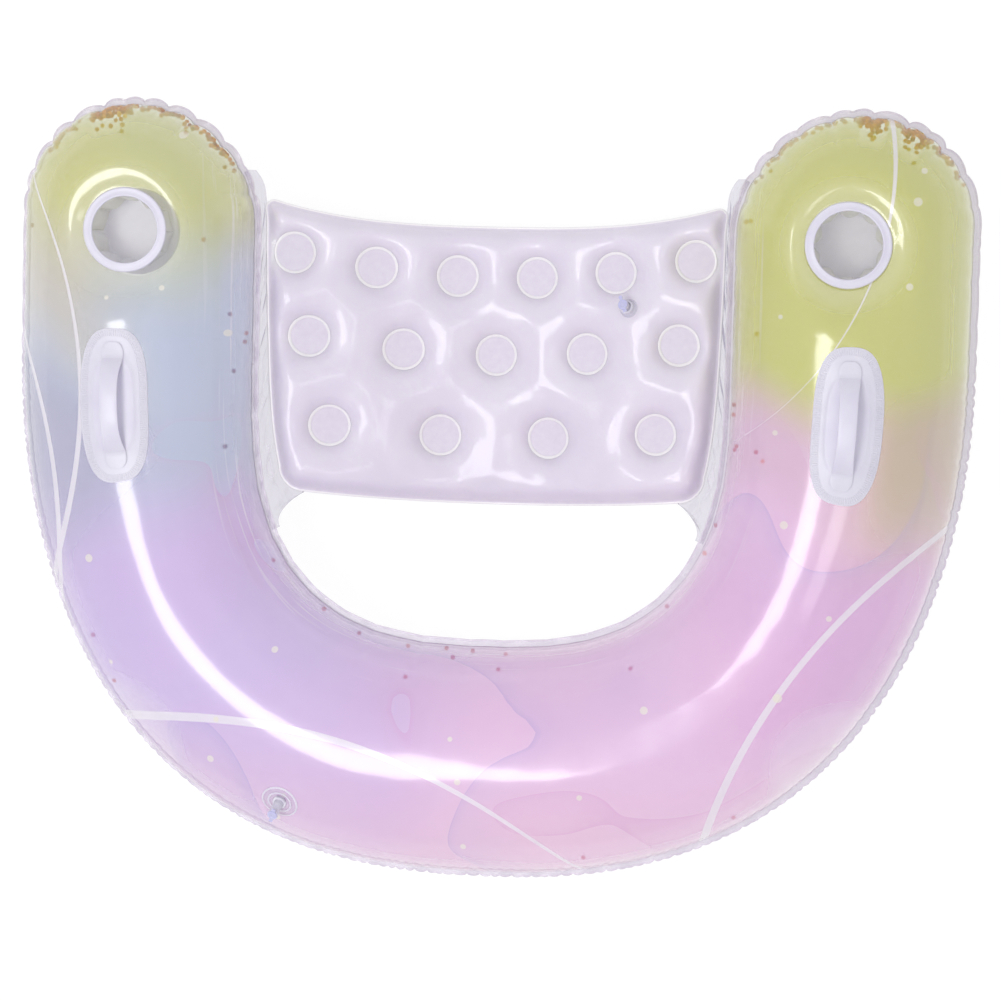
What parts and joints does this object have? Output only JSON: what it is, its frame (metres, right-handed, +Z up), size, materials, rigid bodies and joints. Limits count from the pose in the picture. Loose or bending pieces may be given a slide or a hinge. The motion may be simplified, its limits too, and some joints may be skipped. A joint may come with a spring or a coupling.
{
  "type": "inflatable pool lounger",
  "caption": "Inflatable U-shaped pool lounger: welded film tube with arms and backrest, tufted sling seat, cup holders, grab handles and stem valves.",
  "frame": {"origin": "on the ground under the middle of the outline, at the bottom centre of the bounding box", "axes": "+X to the sitter's right across both arms, +Y the way the sitter faces, towards the arm ends, +Z up"},
  "size_m": [1.226, 0.991, 0.3055],
  "materials": {
    "printed_film": "glossy translucent vinyl film printed in soft pastel colours",
    "clear_film": "glossy clear vinyl film",
    "milky_film": "glossy milky lilac vinyl film, puffed between spot welds",
    "white_vinyl": "satin opaque white vinyl",
    "valve_vinyl": "soft moulded translucent vinyl",
    "stopper_vinyl": "soft moulded bluish vinyl"
  },
  "bodies": {
    "float": {"tube_top_panel": "printed_film", "tube_bottom_panel": "clear_film", "seat_top_panel": "milky_film", "seat_bottom_panel": "milky_film", "left_seat_web": "clear_film", "right_seat_web": "clear_film", "left_cup_rim": "white_vinyl", "right_cup_rim": "white_vinyl", "left_cup_wall": "white_vinyl", "right_cup_wall": "white_vinyl", "left_cup_floor": "white_vinyl", "right_cup_floor": "white_vinyl", "left_handle_base": "white_vinyl", "right_handle_base": "white_vinyl", "left_handle_grip": "white_vinyl", "right_handle_grip": "white_vinyl", "tube_valve_flange": "valve_vinyl", "seat_valve_flange": "valve_vinyl"},
    "tube_stem": {"tube_valve_stem": "valve_vinyl"},
    "tube_stopper": {"tube_valve_stopper": "stopper_vinyl"},
    "tube_flap": {"tube_valve_flap": "stopper_vinyl"},
    "seat_stem": {"seat_valve_stem": "valve_vinyl"},
    "seat_stopper": {"seat_valve_stopper": "stopper_vinyl"},
    "seat_flap": {"seat_valve_flap": "stopper_vinyl"}
  },
  "joints": [
    {"name": "tube_stem_slide", "type": "slide", "parent": "float", "child": "tube_stem", "axis": [-0.207, -0.5384, 0.8169], "range_m": [-0.016, 0]},
    {"name": "tube_stopper_hinge", "type": "hinge", "parent": "tube_stem", "child": "tube_stopper", "pos_m": [-0.24114, -0.39654, 0.27316], "axis": [-0.9337, 0.358, -0.0007], "range_deg": [0, 150]},
    {"name": "tube_flap_hinge", "type": "hinge", "parent": "tube_stem", "child": "tube_flap", "pos_m": [-0.23569, -0.38239, 0.24353], "axis": [0.9337, -0.358, 0.0007], "range_deg": [0, 65], "stiffness_Nm_per_rad": 0.0005, "springref_deg": -5.73},
    {"name": "seat_stem_slide", "type": "slide", "parent": "float", "child": "seat_stem", "axis": [-0.3564, 0.2488, 0.9006], "range_m": [-0.005, 0]},
    {"name": "seat_stopper_hinge", "type": "hinge", "parent": "seat_stem", "child": "seat_stopper", "pos_m": [0.17082, 0.23552, 0.13242], "axis": [0.8716, 0.4358, 0.2246], "range_deg": [0, 150]},
    {"name": "seat_flap_hinge", "type": "hinge", "parent": "seat_stem", "child": "seat_flap", "pos_m": [0.17671, 0.23438, 0.1118], "axis": [-0.8716, -0.4358, -0.2246], "range_deg": [0, 65], "stiffness_Nm_per_rad": 0.0005, "springref_deg": -5.73}
  ]
}
